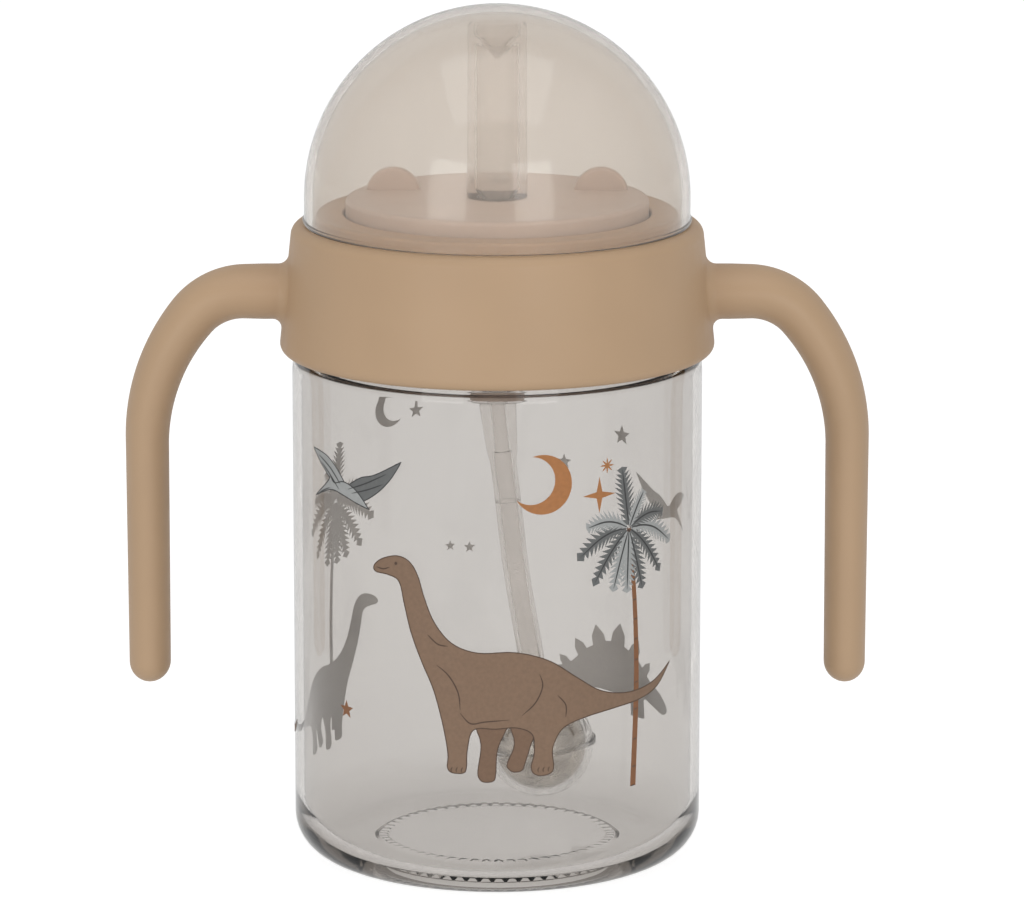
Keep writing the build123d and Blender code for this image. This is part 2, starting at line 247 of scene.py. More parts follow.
def moulded_plastic(name, colour, roughness, grain_mm=0.006):
    """Matt moulded plastic: slow colour drift, a fine spark-eroded grain and uneven gloss."""
    material, tree, shader = new_material(name)
    vary_colour(tree, shader, colour, 0.025, noise(tree, 60.0))
    vary_roughness(tree, shader, noise(tree, 240.0, 4.0), roughness - 0.04, roughness + 0.05)
    add_bump(tree, shader, noise(tree, 2600.0, 2.0), grain_mm, 0.5)
    shader.inputs["IOR"].default_value = 1.46
    return material


def absorb(tree, colour, density):
    """Tint that deepens with the thickness of the plastic."""
    volume = tree.nodes.new("ShaderNodeVolumeAbsorption")
    set_sockets(volume, {"Color": (*colour, 1.0), "Density": density})
    tree.links.new(volume.outputs["Volume"], tree.nodes["Material Output"].inputs["Volume"])


def clear_plastic(
    name, tint, shadow, roughness, ior=1.12, wave_mm=0.02, density=34.0, haze=0.0, skin=0.035, skin_ior=1.5
):
    """Clear moulded plastic: faint waviness from the mould, handling haze and a glossy skin."""
    material, tree, shader = new_material(name)
    set_sockets(shader, {
        "Transmission Weight": 1.0 - haze, "IOR": ior,
        "Coat Weight": 1.0, "Coat IOR": skin_ior, "Coat Roughness": skin,
    })
    vary_colour(tree, shader, tint, 0.012, noise(tree, 45.0, 3.0, (1, 1, 0.25)))
    vary_roughness(tree, shader, noise(tree, 130.0, 5.0), roughness * 0.6, roughness * 1.5)
    add_bump(tree, shader, noise(tree, 55.0, 1.0, (1, 1, 0.3)), wave_mm, 0.35)
    absorb(tree, tint, density)
    let_light_through(tree, shader, shadow)
    return material


def soft_silicone(name, tint, shadow, transmission, roughness):
    """Milky silicone: part clear, part clouded, with a dusty skin."""
    material, tree, shader = new_material(name)
    set_sockets(shader, {
        "Transmission Weight": transmission, "IOR": 1.12,
        "Coat Weight": 0.6, "Coat IOR": 1.41, "Coat Roughness": 0.22,
    })
    vary_colour(tree, shader, tint, 0.02, noise(tree, 180.0))
    vary_roughness(tree, shader, noise(tree, 420.0, 4.0), roughness * 0.8, roughness * 1.25)
    add_bump(tree, shader, noise(tree, 900.0, 2.0), 0.01, 0.4)
    let_light_through(tree, shader, shadow)
    return material


def polished_steel(name):
    """Steel ball: uneven polish with shallow dents and darker patches."""
    material, tree, shader = new_material(name)
    vary_colour(tree, shader, (0.62, 0.585, 0.54), 0.22, noise(tree, 220.0))
    shader.inputs["Metallic"].default_value = 1.0
    vary_roughness(tree, shader, noise(tree, 500.0, 4.0, (1, 1, 3)), 0.12, 0.3)
    add_bump(tree, shader, noise(tree, 330.0, 2.0, (1, 1, 1.6)), 0.12, 0.8)
    return material


def ink(name, colour, drift=0.07):
    """Screen-printed ink: slightly mottled, with a satin skin."""
    material, tree, shader = new_material(name)
    vary_colour(tree, shader, colour, drift, noise(tree, 1500.0, 4.0))
    vary_roughness(tree, shader, noise(tree, 900.0), 0.42, 0.6)
    add_bump(tree, shader, noise(tree, 3200.0, 2.0), 0.004, 0.4)
    return material


BEIGE = moulded_plastic("beige_plastic", (0.485, 0.328, 0.200), 0.46)
LID_BEIGE = moulded_plastic("lid_plastic", (0.53, 0.425, 0.36), 0.42)
CLEAR = clear_plastic(
    "clear_cup", (0.772, 0.757, 0.742), (0.93, 0.925, 0.92), 0.02, density=185.0, skin_ior=1.33
)
SMOKY = clear_plastic(
    "smoky_dome", (0.80, 0.762, 0.718), (0.84, 0.81, 0.79), 0.03, density=85.0, haze=0.08, skin=0.12,
    skin_ior=1.4
)
CAPSULE_CLEAR = clear_plastic("clear_capsule", (0.95, 0.945, 0.935), (0.92, 0.92, 0.91), 0.03, 1.2)
SILICONE = soft_silicone("silicone", (0.90, 0.88, 0.86), (0.88, 0.86, 0.84), 0.90, 0.16)
STEEL = polished_steel("steel")
INK_BROWN = ink("ink_brown", (0.225, 0.140, 0.088))
INK_BROWN_DARK = ink("ink_brown_dark", (0.085, 0.048, 0.030))
INK_BROWN_SHADE = ink("ink_brown_shade", (0.190, 0.112, 0.068))
INK_RUST = ink("ink_rust", (0.235, 0.098, 0.038))
INK_OCHRE = ink("ink_ochre", (0.40, 0.165, 0.052))
INK_GREY = ink("ink_grey", (0.135, 0.140, 0.138))
INK_GREY_PALE = ink("ink_grey_pale", (0.36, 0.37, 0.365))
INK_CHARCOAL = ink("ink_charcoal", (0.045, 0.045, 0.046))
UNDERPRINT = ink("underprint", (0.97, 0.97, 0.965), 0.02)


# ---- mesh building
def rounded(corners, closed):
    """Points of a profile through (x, y, rounding) corners, with each corner rounded off."""
    points = []
    for index, (x, y, rounding) in enumerate(corners):
        here = Vector((x, y))
        at_end = not closed and index in (0, len(corners) - 1)
        if rounding <= 0 or at_end:
            points.append(here)
            continue
        before, after = corners[index - 1], corners[(index + 1) % len(corners)]
        back, ahead = Vector(before[:2]) - here, Vector(after[:2]) - here
        inside = back.angle(ahead)
        back_room = back.length * (0.49 if before[2] > 0 else 0.98)
        ahead_room = ahead.length * (0.49 if after[2] > 0 else 0.98)
        reach = min(rounding / math.tan(inside / 2), back_room, ahead_room)
        radius = reach * math.tan(inside / 2)
        middle = (back.normalized() + ahead.normalized()).normalized()
        centre = here + middle * radius / math.sin(inside / 2)
        first = here + back.normalized() * reach - centre
        last = here + ahead.normalized() * reach - centre
        turn = math.atan2(first.x * last.y - first.y * last.x, first.dot(last))
        steps = max(2, math.ceil(abs(math.degrees(turn)) / ROUND_STEP))
        for step in range(steps + 1):
            angle = turn * step / steps
            cos, sin = math.cos(angle), math.sin(angle)
            points.append(centre + Vector((first.x * cos - first.y * sin, first.x * sin + first.y * cos)))
    return points


def arc(centre_y, radius, start, end, step=2.5):
    """Points of an arc about a centre on the axis, from one angle to another above the horizontal."""
    steps = max(2, math.ceil(abs(end - start) / step))
    angles = [math.radians(start + (end - start) * index / steps) for index in range(steps + 1)]
    return [Vector((radius * math.cos(a), centre_y + radius * math.sin(a))) for a in angles]


def refine(points, low, high, step, closed):
    """Cut the steep lines between two heights into short steps."""
    result = []
    count = len(points)
    for index, point in enumerate(points):
        result.append(point)
        if index == count - 1 and not closed:
            break
        after = points[(index + 1) % count]
        if abs(after.y - point.y) <= step or min(after.y, point.y) > high or max(after.y, point.y) < low:
            continue
        stops = max(1, math.ceil(abs(after.y - point.y) / step))
        for stop in range(1, stops):
            part = point.lerp(after, stop / stops)
            if low <= part.y <= high:
                result.append(part)
    return result


def new_object(name, data):
    made = bpy.data.objects.new(name, data)
    bpy.context.scene.collection.objects.link(made)
    return made


def make_mesh(name, vertices, faces, face_materials=None):
    mesh = bpy.data.meshes.new(name)
    mesh.from_pydata([Vector(v) * MM for v in vertices], [], faces)
    if face_materials:
        mesh.polygons.foreach_set("material_index", face_materials)
    mesh.update()
    cleaned = bmesh.new()
    cleaned.from_mesh(mesh)
    bmesh.ops.recalc_face_normals(cleaned, faces=cleaned.faces)
    cleaned.to_mesh(mesh)
    cleaned.free()
    return new_object(name, mesh)


def ring_faces(rows, around, closed=False):
    """Quads between rings of points that follow each other, and back to the first ring if closed."""
    faces = []
    for row in range(rows if closed else rows - 1):
        here, there = row * around, (row + 1) % rows * around
        for k in range(around):
            after = (k + 1) % around
            faces.append((here + k, here + after, there + after, there + k))
    return faces


def lathe(name, points, closed, segments=96, shape=None, place=None):
    """A solid of revolution about Z. A point on the axis becomes a pole."""
    vertices, rows, faces = [], [], []
    for point in points:
        if point.x < 1e-6:
            rows.append([len(vertices)])
            vertices.append(Vector((0, 0, point.y)))
            continue
        row = []
        for k in range(segments):
            angle = 2 * math.pi * k / segments
            r, z = shape(point.x, point.y, angle, k) if shape else (point.x, point.y)
            row.append(len(vertices))
            vertices.append(Vector((r * math.cos(angle), r * math.sin(angle), z)))
        rows.append(row)
    pairs = list(zip(rows, rows[1:] + rows[:1])) if closed else list(zip(rows, rows[1:]))
    for first, second in pairs:
        for k in range(segments):
            after = (k + 1) % segments
            if len(first) == 1 and len(second) == 1:
                break
            if len(first) == 1:
                faces.append((first[0], second[after], second[k]))
            elif len(second) == 1:
                faces.append((first[k], first[after], second[0]))
            else:
                faces.append((first[k], first[after], second[after], second[k]))
    if place:
        vertices = [place @ v for v in vertices]
    return make_mesh(name, vertices, faces)


def smooth(made, sharp_angle=32.0):
    made.data.shade_smooth()
    made.data.set_sharp_from_angle(angle=math.radians(sharp_angle))
    weighted = made.modifiers.new("weighted_normals", "WEIGHTED_NORMAL")
    weighted.keep_sharp = True
    return made


def finished(made, material, body, replaced=(), sharp_angle=32.0):
    """Give a piece its material and its body, and hide the CAD nodes it stands for."""
    made.data.materials.append(material)
    smooth(made, sharp_angle)
    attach(made, body)
    if replaced:
        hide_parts(*replaced)
    return made


def box_between(name, low, high):
    corners = [(x, y, z) for x in (low[0], high[0]) for y in (low[1], high[1]) for z in (low[2], high[2])]
    faces = [(0, 1, 3, 2), (4, 6, 7, 5), (0, 4, 5, 1), (2, 3, 7, 6), (0, 2, 6, 4), (1, 5, 7, 3)]
    return make_mesh(name, corners, faces)


def carve(made, cutters):
    """Cut one solid with others, and leave only the result."""
    for cutter in cutters:
        cut = made.modifiers.new("cut", "BOOLEAN")
        cut.operation = "DIFFERENCE"
        cut.solver = "EXACT"
        cut.object = cutter
    bpy.context.view_layer.update()
    evaluated = made.evaluated_get(bpy.context.evaluated_depsgraph_get())
    mesh = bpy.data.meshes.new_from_object(evaluated)
    made.modifiers.clear()
    made.data = mesh
    for cutter in cutters:
        bpy.data.objects.remove(cutter)
    return made


def ridge_depth(z, angle, start_z, depth):
    """How far a screw thread's ridge stands out at one height and angle."""
    best = 0.0
    for turn in range(2):
        along = angle / (2 * math.pi) + turn
        if along > THREAD_TURNS:
            continue
        off = abs(z - start_z - THREAD_LEAD * along)
        rise = min(1.0, max(0.0, (THREAD_ROOT - off) / (THREAD_ROOT - THREAD_CREST)))
        ends = min(1.0, along / THREAD_RUN_OUT, (THREAD_TURNS - along) / THREAD_RUN_OUT)
        best = max(best, depth * rise * ends)
    return best


# ---- the cup
def make_cup():
    neck_bore = NECK_R - CUP_WALL
    inner_r = CUP_R - CUP_WALL
    corners = [
        (0, RECESS_DEPTH, 0),
        (TICK_RING_R - 0.9, RECESS_DEPTH, 0),
        (TICK_RING_R - 0.7, RECESS_DEPTH, 0),
        (TICK_RING_R + 0.6, RECESS_DEPTH, 0),
        (RECESS_R - RECESS_DEPTH, RECESS_DEPTH, 0.3),
        (RECESS_R, 0, 0.3),
        (CUP_R, 0, CUP_CORNER_R),
        (CUP_R, SHOULDER_BEND_Z, SHOULDER_BEND_R),
        (SHOULDER_EDGE_R, SHOULDER_Z, 0),
        (NECK_R, SHOULDER_Z, 0.3),
        (NECK_R, RIM_Z, 0.4),
        (neck_bore, RIM_Z, 0.4),
        (neck_bore, SHOULDER_Z - CUP_WALL, 0.5),
        (inner_r, SHOULDER_Z - CUP_WALL, 1.0),
        (inner_r, CUP_FLOOR_Z, CUP_CORNER_R - CUP_WALL),
        (0, CUP_FLOOR_Z, 0),
    ]
    points = refine(rounded(corners, False), THREAD_START_Z - 2, THREAD_START_Z + 9, THREAD_STEP, False)

    def shape(r, z, angle, k):
        if abs(r - NECK_R) < 0.01 and SHOULDER_Z < z < RIM_Z:
            return r + ridge_depth(z, angle, THREAD_START_Z, THREAD_DEPTH), z
        on_ticks = abs(z - RECESS_DEPTH) < 0.01 and TICK_RING_R - 0.75 < r < TICK_RING_R + 0.65
        if on_ticks and k % 4 < 2:
            return r, z + TICK_HEIGHT
        return r, z

    cup = lathe("cup_wall", points, False, 240, shape)
    return finished(cup, CLEAR, "cup", ["cup_body"])


# ---- collar and handles
def collar_surface_r(z):
    share = (z - COLLAR_BOTTOM_Z) / (SEAT_Z - COLLAR_BOTTOM_Z)
    return COLLAR_BOTTOM_R + (COLLAR_TOP_R - COLLAR_BOTTOM_R) * share


def make_collar():
    hole_r = LID_DISC_R + 0.35
    underside = LID_FLANGE_TOP_Z + 0.1
    corners = [
        (COLLAR_BORE_R, COLLAR_BOTTOM_Z, 0.3),
        (COLLAR_BOTTOM_R, COLLAR_BOTTOM_Z, 1.8),
        (COLLAR_TOP_R, SEAT_Z, 2.1),
        (DECK_R, SEAT_Z, 0.25),
        (DECK_R, DECK_Z, 0.6),
        (hole_r, DECK_Z, 0.4),
        (hole_r, DECK_Z - 2.3, 0.2),
        (DECK_R - 1.5, DECK_Z - 2.3, 0.3),
        (DECK_R - 1.5, underside, 0.2),
        (COLLAR_BORE_R, underside, 0.3),
    ]
    start_z = THREAD_START_Z - THREAD_LEAD / 2
    points = refine(rounded(corners, True), start_z - 2, start_z + 9, THREAD_STEP, True)

    def shape(r, z, angle, k):
        if abs(r - COLLAR_BORE_R) < 0.01 and COLLAR_BOTTOM_Z + 0.5 < z < underside - 0.5:
            return r - ridge_depth(z, angle, start_z, COLLAR_CREST_DEPTH), z
        return r, z

    collar = lathe("collar_shell", points, True, 240, shape)
    return finished(collar, BEIGE, "collar", ["collar_ring"])


def handle_stations():
    """Middle, direction and size of each section along the handle, beyond the flared root."""
    arc_start = Vector((HANDLE_ROOT_X + HANDLE_STRAIGHT, HANDLE_Z))
    turn = HANDLE_FIRST_TURN
    first_r = HANDLE_FIRST_R
    second_r = (HANDLE_LEG_X - arc_start.x - first_r * math.sin(turn)) / (1 - math.sin(turn))
    first_centre = arc_start - Vector((0, first_r))
    second_centre = first_centre - Vector((math.sin(turn), math.cos(turn))) * (second_r - first_r)
    leg_bottom = HANDLE_TIP_Z + HANDLE_TIP_SIZE[0] / 2
    path = []
    for step in range(1, 6):
        path.append((Vector((HANDLE_ROOT_X + HANDLE_STRAIGHT * step / 6, HANDLE_Z)), 0.0))
    for step in range(14):
        angle = turn * step / 14
        path.append((first_centre + Vector((math.sin(angle), math.cos(angle))) * first_r, angle))
    for step in range(20):
        angle = turn + (math.pi / 2 - turn) * step / 20
        path.append((second_centre + Vector((math.sin(angle), math.cos(angle))) * second_r, angle))
    leg_top = second_centre.y
    for step in range(LEG_STEPS):
        z = leg_top + (leg_bottom - leg_top) * step / (LEG_STEPS - 1)
        path.append((Vector((HANDLE_LEG_X, z)), math.pi / 2))

    walked, lengths = 0.0, []
    for index, (point, _) in enumerate(path):
        walked += (point - path[index - 1][0]).length if index else 0.0
        lengths.append(walked)
    to_leg = lengths[-LEG_STEPS]
    stations = []
    for (point, angle), length in zip(path, lengths):
        if length <= to_leg:
            share, first, last = length / to_leg, HANDLE_ROOT_SIZE, HANDLE_LEG_SIZE
        else:
            share = (length - to_leg) / (walked - to_leg)
            first, last = HANDLE_LEG_SIZE, HANDLE_TIP_SIZE
        size = [a + (b - a) * share for a, b in zip(first, last)]
        stations.append((point, angle, size))
    return stations


def make_handle(name, side, node):
    """Oval bar that grows out of the collar's wall in a hollow flare and ends in a round tip."""
    around = 56
    vertices = []
    rows = 0

    def ring_at(point, angle, thick, wide):
        for k in range(around):
            turn = 2 * math.pi * k / around
            off = thick / 2 * math.sin(turn)
            x = point.x + off * math.sin(angle)
            z = point.y + off * math.cos(angle)
            vertices.append(Vector((x, wide / 2 * math.cos(turn), z)))

    flare_steps = 9
    for step in range(-1, flare_steps + 1):
        lean = max(0, step) * math.pi / 2 / flare_steps
        out = HANDLE_FLARE * (1 - math.cos(lean)) if step >= 0 else -0.6
        spread = HANDLE_FLARE * (1 - math.sin(lean))
        for k in range(around):
            turn = 2 * math.pi * k / around
            half_thick, half_wide = HANDLE_ROOT_SIZE[0] / 2, HANDLE_ROOT_SIZE[1] / 2
            across = Vector((half_wide * math.cos(turn), half_thick * math.sin(turn)))
            normal = Vector((half_thick * math.cos(turn), half_wide * math.sin(turn))).normalized()
            across = across + normal * spread
            z = HANDLE_Z + across.y
            x = math.sqrt(collar_surface_r(z) ** 2 - across.x ** 2) + out
            vertices.append(Vector((x, across.x, z)))
        rows += 1
    for point, angle, size in handle_stations():
        ring_at(point, angle, *size)
        rows += 1
    tip_half = HANDLE_TIP_SIZE[0] / 2
    leg_bottom = HANDLE_TIP_Z + tip_half
    for step in range(1, 10):
        lean = math.pi / 2 * step / 10
        share = math.cos(lean)
        middle = Vector((HANDLE_LEG_X, leg_bottom - tip_half * math.sin(lean)))
        ring_at(middle, math.pi / 2, HANDLE_TIP_SIZE[0] * share, HANDLE_TIP_SIZE[1] * share)
        rows += 1
    faces = ring_faces(rows, around)
    tip = len(vertices)
    vertices.append(Vector((HANDLE_LEG_X, 0, HANDLE_TIP_Z)))
    last = (rows - 1) * around
    for k in range(around):
        faces.append((last + k, last + (k + 1) % around, tip))
    faces.append(tuple(range(around)))
    vertices = [Vector((side * v.x, v.y, v.z)) for v in vertices]
    handle = make_mesh(name, vertices, faces)
    return finished(handle, BEIGE, "collar", [node])


# ---- lid, tabs and spout
def make_lid():
    inside_z = LID_TOP_Z - LID_WALL
    corners = [
        (BOSS_BORE_R, LID_TOP_Z, 0),
        (LID_DISC_R, LID_TOP_Z, 0.8),
        (LID_DISC_R, LID_FLANGE_TOP_Z, 0.2),
        (LID_FLANGE_R, LID_FLANGE_TOP_Z, 0.4),
        (LID_FLANGE_R, GASKET_TOP_Z, 0.3),
        (PLUG_R, GASKET_TOP_Z, 0.1),
        (PLUG_R, GASKET_TOP_Z - PLUG_DEPTH, 0.6),
        (PLUG_R - PLUG_THICKNESS, GASKET_TOP_Z - PLUG_DEPTH, 0.3),
        (PLUG_R - PLUG_THICKNESS, GASKET_TOP_Z, 0.1),
        (LID_DISC_R - LID_WALL, GASKET_TOP_Z, 0.3),
        (LID_DISC_R - LID_WALL, inside_z, 0.8),
        (BOSS_R, inside_z, 0.6),
        (BOSS_R, BOSS_BOTTOM_Z, 0.4),
        (BOSS_BORE_R, BOSS_BOTTOM_Z, 0),
    ]
    lid = lathe("lid_disc", rounded(corners, True), True, 192)
    return finished(lid, LID_BEIGE, "inner_lid", ["inner_lid"])


def make_tab(name, side):
    """Finger tab: a round disc on edge, with only the part above the lid kept."""
    radius = (TAB_WIDTH ** 2 / 4 + TAB_HEIGHT ** 2) / (2 * TAB_HEIGHT)
    half = TAB_THICKNESS / 2
    profile = rounded([(0, -half, 0), (radius, -half, 0.6), (radius, half, 0.6), (0, half, 0)], False)
    centre = Vector((side * TAB_X, TAB_Y, LID_TOP_Z + TAB_HEIGHT - radius))
    place = Matrix.Translation(centre) @ Matrix.Rotation(math.pi / 2, 4, "X")
    tab = lathe(name, profile, False, 72, None, place)
    cutting = bmesh.new()
    cutting.from_mesh(tab.data)
    everything = [*cutting.verts, *cutting.edges, *cutting.faces]
    level = Vector((0, 0, (LID_TOP_Z - 0.5) * MM))
    bmesh.ops.bisect_plane(
        cutting, geom=everything, plane_co=level, plane_no=(0, 0, 1), clear_inner=True
    )
    bmesh.ops.holes_fill(cutting, edges=cutting.edges)
    cutting.to_mesh(tab.data)
    cutting.free()
    return finished(tab, LID_BEIGE, "inner_lid")


def make_spout():
    valve_under = VALVE_Z - VALVE_THICKNESS
    corners = [
        (0, VALVE_Z - VALVE_DEPTH, 0),
        (SPOUT_BORE_R, VALVE_Z, 0.3),
        (SPOUT_BORE_R + 0.2, SPOUT_TOP_Z, 0.5),
        (SPOUT_TIP_R, SPOUT_TOP_Z, 0.8),
        (SPOUT_BASE_R, LID_TOP_Z, 0),
        (BOSS_BORE_R, LID_TOP_Z, 0),
        (BOSS_BORE_R, LID_TOP_Z - SLEEVE_LENGTH, 0.4),
        (SLEEVE_BORE_R, LID_TOP_Z - SLEEVE_LENGTH, 0.2),
        (SLEEVE_BORE_R, LID_TOP_Z - 0.5, 0.3),
        (SPOUT_BORE_R, LID_TOP_Z + 1.5, 0.3),
        (SPOUT_BORE_R, valve_under, 0.3),
        (0, valve_under - VALVE_DEPTH, 0),
    ]
    spout = lathe("spout", rounded(corners, False), False, 96)
    middle = VALVE_Z - VALVE_DEPTH
    slit_half, slit_long = 0.1, 1.4
    cutters = [
        box_between("slit_x", (-slit_long, -slit_half, middle - 2.2), (slit_long, slit_half, middle + 2.2)),
        box_between("slit_y", (-slit_half, -slit_long, middle - 2.2), (slit_half, slit_long, middle + 2.2)),
    ]
    carve(spout, cutters)
    return finished(spout, SILICONE, "inner_lid", ["straw_spout"])


# ---- the straw under the lid
lean_drop = STEM_LEAN_Z - SIDE_PIVOT_Z
lean = math.radians(STEM_LEAN)
lean_direction = Vector((math.sin(lean), 0, -math.cos(lean)))
side_pivot = Vector((0, 0, STEM_LEAN_Z)) + lean_direction * lean_drop
capsule_place = Matrix.Translation(CAPSULE_CENTRE) @ Matrix.Rotation(-math.radians(CAPSULE_TILT), 4, "Y")
neck_top = capsule_place @ Vector((0, 0, CAPSULE_NECK_TOP))
tube_end = capsule_place @ Vector((0, 0, CAPSULE_R))
tube_direction = (neck_top - side_pivot).normalized()


def make_connector():
    lip_z = BOSS_BOTTOM_Z - LIP_THICKNESS
    lower_lip_z = lip_z - LOWER_LIP_THICKNESS
    corners = [
        (CONNECTOR_BORE_R, BOSS_BOTTOM_Z + CONNECTOR_LENGTH, 0.1),
        (BOSS_BORE_R, BOSS_BOTTOM_Z + CONNECTOR_LENGTH, 0.5),
        (BOSS_BORE_R, BOSS_BOTTOM_Z, 0),
        (LIP_R, BOSS_BOTTOM_Z, 0.2),
        (LIP_R, lip_z, 0.2),
        (LOWER_LIP_R, lip_z, 0),
        (LOWER_LIP_R, lower_lip_z, 0.3),
        (CONNECTOR_BORE_R, lower_lip_z, 0.1),
    ]
    plug = lathe("straw_plug", rounded(corners, True), True, 72)
    finished(plug, SILICONE, "inner_lid", ["straw_connector"])


def centreline(distance):
    """Point on the tube's middle, a distance below its side pivot; negative is above it."""
    if distance <= 0:
        return side_pivot - lean_direction * -distance
    straight = (neck_top - side_pivot).length
    if distance >= straight:
        along = (tube_end - neck_top).normalized()
        return neck_top + along * (distance - straight)
    bow = TUBE_BOW * math.sin(math.pi * distance / straight) ** 2
    return side_pivot + tube_direction * distance - Vector((bow, 0, 0))


def make_tube(name, stops, around=48):
    """A tube along the centreline; stops are (distance, outer radius, bore radius)."""
    rings = []
    for which in (1, 2):
        for stop in stops if which == 1 else reversed(stops):
            distance = stop[0]
            middle = centreline(distance)
            along = (centreline(distance + 0.05) - centreline(distance - 0.05)).normalized()
            across = Vector((0, 1, 0)).cross(along).normalized()
            ring = []
            for k in range(around):
                turn = 2 * math.pi * k / around
                offset = across * math.cos(turn) + Vector((0, 1, 0)) * math.sin(turn)
                ring.append(middle + offset * stop[which])
            rings.append(ring)
    vertices = [v for ring in rings for v in ring]
    tube = make_mesh(name, vertices, ring_faces(len(rings), around, closed=True))
    tube.data.materials.append(SILICONE)
    smooth(tube)
    return tube


def make_straw():
    """The soft tube in two lengths that meet between its two bends."""
    meet = BEND_SPACING / 2
    top = STEM_LEAN_Z - lean_drop - (BOSS_BOTTOM_Z - SOCKET_DROP)
    stops = [
        (top, SOCKET_TOP_R - 0.25, NIPPLE_BORE_R),
        (top + 0.15, SOCKET_TOP_R - 0.05, NIPPLE_BORE_R),
        (top + 0.4, SOCKET_TOP_R, NIPPLE_BORE_R),
        (top + 3.5, SOCKET_TOP_R - 0.2, NIPPLE_BORE_R),
        (-4.4, SOCKET_TOP_R - 0.45, NIPPLE_BORE_R),
        (-3.2, SOCKET_TOP_R - 0.52, NIPPLE_BORE_R),
        (-3.1, SOCKET_TOP_R - 0.55, TUBE_BORE_R),
        (-2.6, SOCKET_TOP_R - 0.62, TUBE_BORE_R),
        (-2.0, SOCKET_TOP_R - 0.75, TUBE_BORE_R),
        (-1.4, TUBE_R + 0.10, TUBE_BORE_R),
        (-0.8, TUBE_R + 0.03, TUBE_BORE_R),
    ]
    stops += [(0.5 * k, TUBE_R, TUBE_BORE_R) for k in range(int(meet / 0.5) + 1)]
    upper = make_tube("straw_tube_upper", stops)
    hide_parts("straw_tube_socket", "straw_tube_middle")
    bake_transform(upper)

    full = (neck_top - side_pivot).length + (tube_end - neck_top).length
    steps = 70
    stops = [(meet + (full - meet) * k / steps, TUBE_R, TUBE_BORE_R) for k in range(steps + 1)]
    lower = make_tube("straw_tube_lower_run", stops)
    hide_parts("straw_tube_lower")
    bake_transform(lower)


def half_ridge(inner_r, side):
    """The middle of one capsule half: its flat joint face and half of the ridge round it."""
    r, half = CAPSULE_RIDGE_R, CAPSULE_RIDGE_HALF
    points = [(inner_r, 0), (r - 0.1, 0), (r, 0.1), (r, half - 0.2), (r - 0.2, half)]
    return [Vector((x, side * z)) for x, z in points]


def make_weight():
    inner_r = CAPSULE_R - CAPSULE_WALL
    ridge_angle = math.degrees(math.asin(CAPSULE_RIDGE_HALF / CAPSULE_R))
    neck_angle = math.degrees(math.acos(CAPSULE_NECK_R / CAPSULE_R))
    bore_angle = math.degrees(math.acos(TUBE_BORE_R / inner_r))
    cap = half_ridge(inner_r, 1) + arc(0, CAPSULE_R, ridge_angle, neck_angle, 3.5)
    cap += rounded([
        (CAPSULE_NECK_R, 9.3, 0), (CAPSULE_NECK_R, CAPSULE_NECK_TOP, 0.5),
        (TUBE_R + 0.05, CAPSULE_NECK_TOP, 0.2), (TUBE_R + 0.05, CAPSULE_R - 0.05, 0.1),
        (TUBE_BORE_R, CAPSULE_R - 0.05, 0),
    ], False)
    cap += arc(0, inner_r, bore_angle, 2.5, 3.5)
    upper = lathe("capsule_neck_half", cap, True, 96, None, capsule_place)
    finished(upper, CAPSULE_CLEAR, "straw_weight", ["weight_cap"])

    foot_angle = math.degrees(math.asin(CAPSULE_FOOT / CAPSULE_R))
    floor_z = CAPSULE_FOOT - CAPSULE_WALL
    floor_angle = math.degrees(math.asin(floor_z / inner_r))
    base = half_ridge(inner_r, -1) + arc(0, CAPSULE_R, -ridge_angle, -foot_angle, 3.5)
    base += [Vector((CAPSULE_FOOT_HOLE_R, -CAPSULE_FOOT)), Vector((CAPSULE_FOOT_HOLE_R, -floor_z))]
    base += arc(0, inner_r, -floor_angle, -2.5, 3.5)
    lower = lathe("capsule_foot_half", base, True, 96, None, capsule_place)
    cutters = []
    for name, x, y in (("foot_groove_x", 6.0, 0.7), ("foot_groove_y", 0.7, 6.0)):
        cutter = box_between(name, (-x, -y, -CAPSULE_FOOT - 1), (x, y, -CAPSULE_FOOT + 0.5))
        for step in (Matrix.Scale(1 / MM, 4), capsule_place, Matrix.Scale(MM, 4)):
            cutter.data.transform(step)
        cutters.append(cutter)
    carve(lower, cutters)
    finished(lower, CAPSULE_CLEAR, "straw_weight", ["weight_base"])

    end_z = STEEL_R - 0.5
    end_angle = math.degrees(math.asin(end_z / STEEL_R))
    profile = [Vector((STEEL_BORE_R, -end_z))] + arc(0, STEEL_R, -end_angle, end_angle, 3.0)
    profile += [Vector((STEEL_BORE_R, end_z))]
    steel = lathe("steel_ball", profile, True, 96, None, capsule_place)
    finished(steel, STEEL, "straw_weight", ["steel_weight"])


# ---- the dome cover
def make_dome():
    inner_r = DOME_R - DOME_WALL
    bead_r = dome_high.x
    points = arc(DOME_CENTRE_Z, DOME_R, 90, 0, 2.0)
    points[0].x = 0.0
    points += rounded([
        (DOME_R, DOME_CENTRE_Z - 0.5, 0), (DOME_R, SEAT_Z + 0.9, 0.15), (bead_r, SEAT_Z + 0.9, 0.12),
        (bead_r, SEAT_Z, 0.3), (inner_r, SEAT_Z, 0.3), (inner_r, DOME_CENTRE_Z - 0.5, 0),
    ], False)
    points += arc(DOME_CENTRE_Z, inner_r, 0, 90, 2.0)
    points[-1].x = 0.0
    dome = lathe("dome_shell", points, False, 192)
    return finished(dome, SMOKY, "dome", ["dome_cover"])


